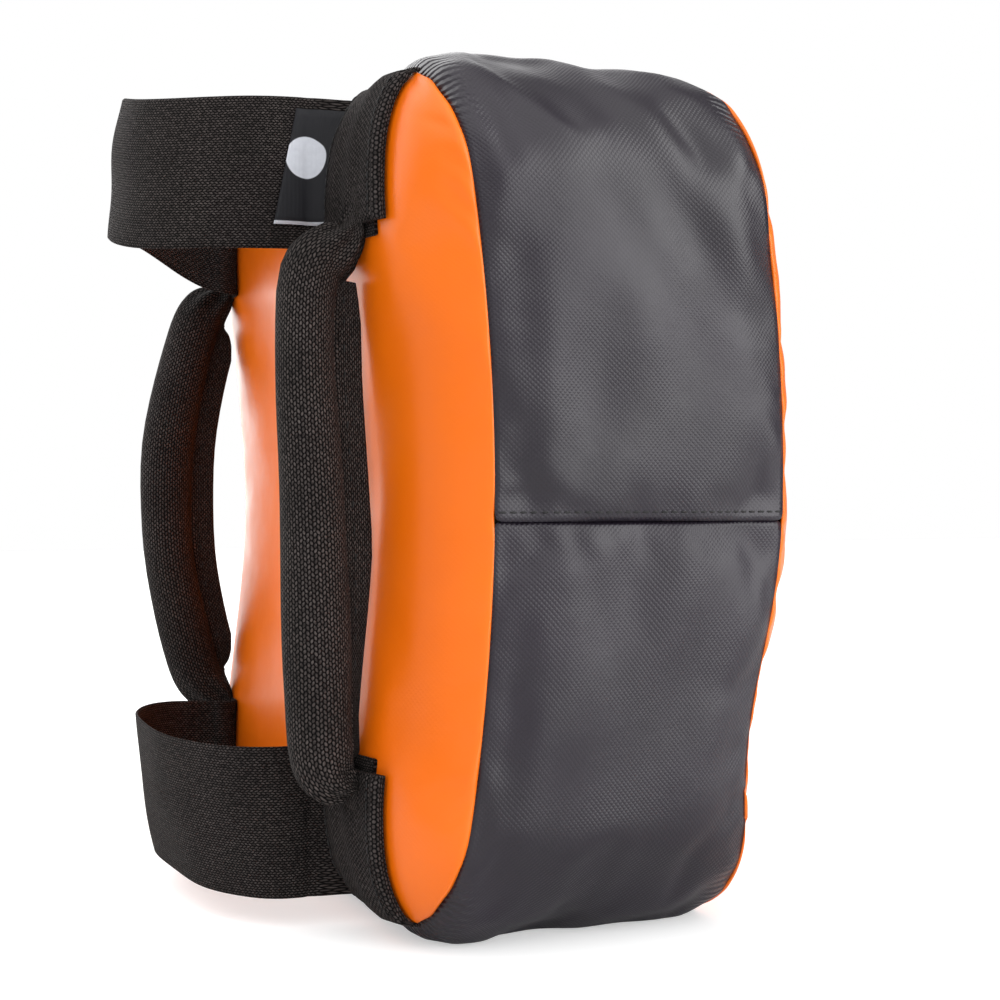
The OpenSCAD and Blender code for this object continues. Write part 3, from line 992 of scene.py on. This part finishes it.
def grip_line(hand, path):
    """Points (z, out, roundness, x, roll radius, flange depth) along a grip, and its outward directions."""
    rows = []
    for z, out, full, shift, scale in path:
        if out < LYING_BELOW:
            out = out + back_out(hand * GRIP_X, z * MM) / MM
        rows.append((z * MM, out * MM, full, hand * GRIP_X + shift * MM, ROLL_R * scale))
    line = curve_through(rows, GRIP_ROWS)
    outward_dir = quarter_turned(line[:, :2])
    outward_dir *= np.where(outward_dir[:, 1:] < 0, -1, 1)
    depths = []
    for z, out, full, x, roll in line:
        # The flange stops short of the vinyl all round the swing about the grip's sewn ends
        clear = max(PIVOT_OUT - back_out(hand * GRIP_X, z) - 1 * MM, MM)
        shift = min(abs(x - hand * GRIP_X), clear * 0.9)
        tip = PIVOT_OUT - math.sqrt(clear**2 - shift**2)
        depths.append(min(max(out - roll - tip, FLANGE_LEAST), FLANGE_MOST))
    return np.column_stack([line, depths]), outward_dir


def build_grip(hand, side_name, path, seed):
    """path is (z, out, roundness, x shift, roll scale) from the upper sewn end to the lower one, in
    millimetres. roundness is 0 where the webbing is sewn flat and 1 where it holds the foam rod."""
    line, out_dir = grip_line(hand, path)
    body = f"{side_name}_grip"
    verts, uvs = [], []
    along = lengths_along(line[:, :2])
    rng = np.random.default_rng(seed)
    phases = rng.uniform(0, 2 * math.pi, 4)
    for i, (z, out, full, x0, roll, flange) in enumerate(line):
        full = min(max(full, 0.0), 1.0)
        pinch = 4 * full * (1 - full)
        near_end = math.exp(-min(along[i], along[-1] - along[i]) / (30 * MM))
        oz, oo = out_dir[i]
        hz, ho = Vector((oz * HANG_LEAN, oo)).normalized()
        round_share = full**0.6
        for k in range(SECTION_POINTS):
            rx, ry = teardrop(k, roll, flange)
            hang = min(0.0, ry + roll * 0.99) * round_share
            ry = max(ry, -roll * 0.99)
            fx, fy = flat_section(k)
            sx, sy = fx + (rx - fx) * round_share, fy + (ry - fy) * round_share
            turn = 2 * math.pi * k / SECTION_POINTS
            crease = (pinch * 1.3 + near_end * 0.35) * MM * math.sin(9 * turn + phases[0] + along[i] / 0.02)
            soft = 0.5 * MM * math.sin(2 * turn + along[i] / 0.026 + phases[1])
            soft += 0.45 * MM * math.sin(along[i] / 0.017 + phases[2]) * math.sin(3 * turn + phases[3])
            size = math.hypot(sx, sy)
            grow = 1 + (crease + soft * full) / max(size, 4 * MM)
            if FLANGE_SHARE * 0.9 > min(k, SECTION_POINTS - k) / SECTION_POINTS:
                grow = 1.0
            z_here = z + oz * sy * grow + hz * hang
            verts.append((x0 + sx * grow, at_out(out + oo * sy * grow + ho * hang), MID_Z + z_here))
            uvs.append((along[i], k / SECTION_POINTS * (2 * math.pi * ROLL_R + 2 * FLANGE_MOST)))
    faces = tube_faces(len(line), SECTION_POINTS)
    obj = make_object(f"{side_name}_grip_webbing", verts, faces, WEBBING, uvs)
    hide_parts(f"{side_name}_grip_sleeve")
    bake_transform(obj)
    build_grip_core(side_name, body, line, out_dir)
    build_flange_stitches(side_name, body, line, out_dir)


def build_grip_core(side_name, body, line, out_dir):
    """The foam rod inside the sleeve."""
    ring = 24
    rows = [(p, d) for p, d in zip(line, out_dir) if p[2] > 0.97][::3]
    verts = []
    for i, ((z, out, _, x0, roll, _), (oz, oo)) in enumerate(rows):
        r = (roll - SLEEVE_T - MM) * (0.8 if i in (0, len(rows) - 1) else 1.0)
        for k in range(ring):
            angle = 2 * math.pi * k / ring
            sx, sy = r * math.cos(angle), r * math.sin(angle)
            verts.append((x0 + sx, at_out(out + oo * sy), MID_Z + z + oz * sy))
    obj = make_object(f"{side_name}_grip_core", verts, tube_faces(len(rows), ring), FOAM)
    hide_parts(f"{side_name}_grip_foam")
    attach(obj, body)


def build_flange_stitches(side_name, body, line, out_dir):
    """One row of thread through the flange, beside the roll, seen on both its faces."""
    places, directions, normals = [], [], []
    last = None
    for (z, out, full, x0, roll, flange), (oz, oo) in zip(line, out_dir):
        if full < 0.97 or (last is not None and abs(z - last) < STITCH_PITCH):
            continue
        last = z
        deep = -(roll + flange * 0.35)
        # No thread shows where it would touch the vinyl as the grip swings
        pivot_x = math.copysign(GRIP_X, x0)
        inner_x = pivot_x - math.copysign(SWING_REACH, x0)
        free = PIVOT_OUT - max(back_out(pivot_x, z), back_out(inner_x, z)) - 2 * MM
        if math.hypot(abs(x0 - pivot_x) + FLANGE_T / 2, out + oo * deep - PIVOT_OUT) > free:
            continue
        for face in (-1, 1):
            places.append((x0 + face * FLANGE_T / 2, at_out(out + oo * deep), MID_Z + z + oz * deep))
            directions.append((0, oz, oo))
            normals.append((face, 0, 0))
    obj = stitches(f"{side_name}_grip_thread", places, directions, normals, radius=0.38 * MM)
    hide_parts(f"{side_name}_grip_stitching")
    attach(obj, body)


RIGHT_PATH = [
    (156, 2.6, 0, 0, 1), (146, 2.6, 0, 0, 1), (138, 3.2, 0.03, 0, 1), (132, 6, 0.25, 0, 1),
    (126, 13, 0.7, 0, 0.95), (119, 68, 0.96, 0, 0.94), (109, 72.5, 1, 0, 0.93), (90, 74, 1, 0, 0.93),
    (60, 74.3, 1, 1, 0.94),
    (20, 72.5, 1, 1.5, 0.98), (-20, 71, 1, 2.5, 1.03), (-60, 69.5, 1, 3.5, 1.05), (-95, 68.5, 1, 4, 1.06),
    (-120, 68, 1, 4, 1.06), (-133, 66.5, 0.96, 4, 1.03), (-141, 62.5, 0.75, 3, 1), (-145, 8, 0.4, 1, 1),
    (-148, 3.4, 0.08, 0, 1), (-157, 2.6, 0, 0, 1),
]
LEFT_PATH = [
    (156, 2.6, 0, 0, 1), (146, 2.6, 0, 0, 1), (138, 4, 0.03, 0, 1), (131, 9, 0.3, 0, 1),
    (122, 66, 0.8, 0, 0.97), (108, 73, 1, 0, 0.96), (75, 82, 1, 0, 0.98), (38, 88.5, 1, 0, 1),
    (0, 90, 1, 0, 1), (-38, 88.5, 1, 0, 1),
    (-75, 82, 1, 0, 0.98), (-108, 73, 1, 0, 0.96), (-122, 66, 0.8, 0, 0.97), (-131, 9, 0.3, 0, 1),
    (-138, 4, 0.03, 0, 1), (-146, 2.6, 0, 0, 1), (-156, 2.6, 0, 0, 1),
]
build_grip(1, "right", RIGHT_PATH, 5)
build_grip(-1, "left", LEFT_PATH, 6)


def build_band_stitching():
    """The topstitch row just above the lapped seam on both sides."""
    tree = surface_of(COVER["upper_side_band"])
    places, directions, normals = [], [], []
    for side in (-1, 1):
        y = BACK_MID + 4 * MM
        while y < STRIKE_MID - 3 * MM:
            hit = tree.ray_cast(Vector((side * 0.5, y, MID_Z + SEAM_Z + 4.5 * MM)), Vector((-side, 0, 0)))
            if hit[0]:
                places.append(hit[0])
                directions.append((0, 1, 0))
                normals.append(hit[1] if hit[1].x * side > 0 else -hit[1])
            y += STITCH_PITCH
    obj = stitches("band_seam_topstitch", places, directions, normals, radius=0.5 * MM)
    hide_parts("band_seam_stitching")
    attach(obj, "shield")


build_band_stitching()


# ---- Studio ----


DIM_LIGHT = 0.18
FLOOR_GLOW = 0.45
# Direction, strength, and the cosines from it where the light starts and where it is full
LIGHT_PATCHES = [
    ((-0.94, -0.32, 0.16), 3.1, 0.46, 0.86),
    ((0.40, -0.30, 0.86), 1.45, 0.40, 0.95),
    ((0.80, 0.60, 0.0), 3.7, 0.68, 0.98),
]


def build_studio():
    """Surroundings that the eye sees as white, and a pale floor that glows to the eye alone. The light
    itself comes from three broad soft patches and a dim surround."""
    scene = bpy.context.scene
    scene.view_settings.view_transform = "Standard"
    world = bpy.data.worlds.new("studio")
    scene.world = world
    world.use_nodes = True
    tree = world.node_tree
    place = tree.nodes.new("ShaderNodeTexCoord")
    total = None
    for direction, strength, edge, full in LIGHT_PATCHES:
        toward = tree.nodes.new("ShaderNodeVectorMath")
        toward.operation = "DOT_PRODUCT"
        toward.inputs[1].default_value = Vector(direction).normalized()
        level = tree.nodes.new("ShaderNodeMapRange")
        level.interpolation_type = "SMOOTHSTEP"
        for socket, value in zip(list(level.inputs)[1:5], (edge, full, 0.0, strength)):
            socket.default_value = value
        tree.links.new(place.outputs["Generated"], toward.inputs[0])
        tree.links.new(toward.outputs["Value"], level.inputs[0])
        add = tree.nodes.new("ShaderNodeMath")
        add.inputs[0].default_value = DIM_LIGHT
        if total is not None:
            tree.links.new(total, add.inputs[0])
        tree.links.new(level.outputs[0], add.inputs[1])
        total = add.outputs[0]
    seen = tree.nodes.new("ShaderNodeLightPath")
    pick = tree.nodes.new("ShaderNodeMix")
    pick.inputs["B"].default_value = 1.0
    tree.links.new(seen.outputs["Is Camera Ray"], pick.inputs["Factor"])
    tree.links.new(total, pick.inputs["A"])
    background = tree.nodes["Background"]
    background.inputs["Color"].default_value = (1, 1, 1, 1)
    tree.links.new(pick.outputs[0], background.inputs["Strength"])
    mesh = bpy.data.meshes.new("floor")
    r = 6.0
    mesh.from_pydata([(-r, -r, 0), (r, -r, 0), (r, r, 0), (-r, r, 0)], [], [(0, 1, 2, 3)])
    floor = place_object("floor", mesh)
    n = Nodes("floor")
    eye = n.add("ShaderNodeLightPath").outputs["Is Camera Ray"]
    glow = n.math("MULTIPLY", eye, FLOOR_GLOW)
    white = (1, 1, 1, 1)
    mesh.materials.append(
        n.finish(Base_Color=(0.7, 0.7, 0.7, 1), Roughness=0.9, Emission_Color=white, Emission_Strength=glow)
    )


def place_aimed(name, data, place, direction):
    """A light or camera at place that looks along direction."""
    obj = place_object(name, data)
    obj.location = place
    obj.rotation_mode = "QUATERNION"
    obj.rotation_quaternion = direction.to_track_quat("-Z", "Y")
    return obj


def area_light(name, place, target, size, power):
    data = bpy.data.lights.new(name, "AREA")
    data.size = size
    data.energy = power
    place_aimed(name, data, place, Vector(target) - Vector(place))


def build_camera():
    """The camera stands off the shield's right side and a little behind it, level with its middle."""
    data = bpy.data.cameras.new("camera")
    data.lens = 56.0
    place = (HALF_W + 684 * MM, BACK_MID - 299.5 * MM, MID_Z - 1.5 * MM)
    look = math.radians(23.78)
    direction = Vector((-math.cos(look), math.sin(look), 0))
    bpy.context.scene.camera = place_aimed("camera", data, place, direction)


build_studio()
CENTRE = (0, 0, MID_Z)
area_light("key", (0.9, 1.4, 1.5), CENTRE, 1.0, 10)
build_camera()
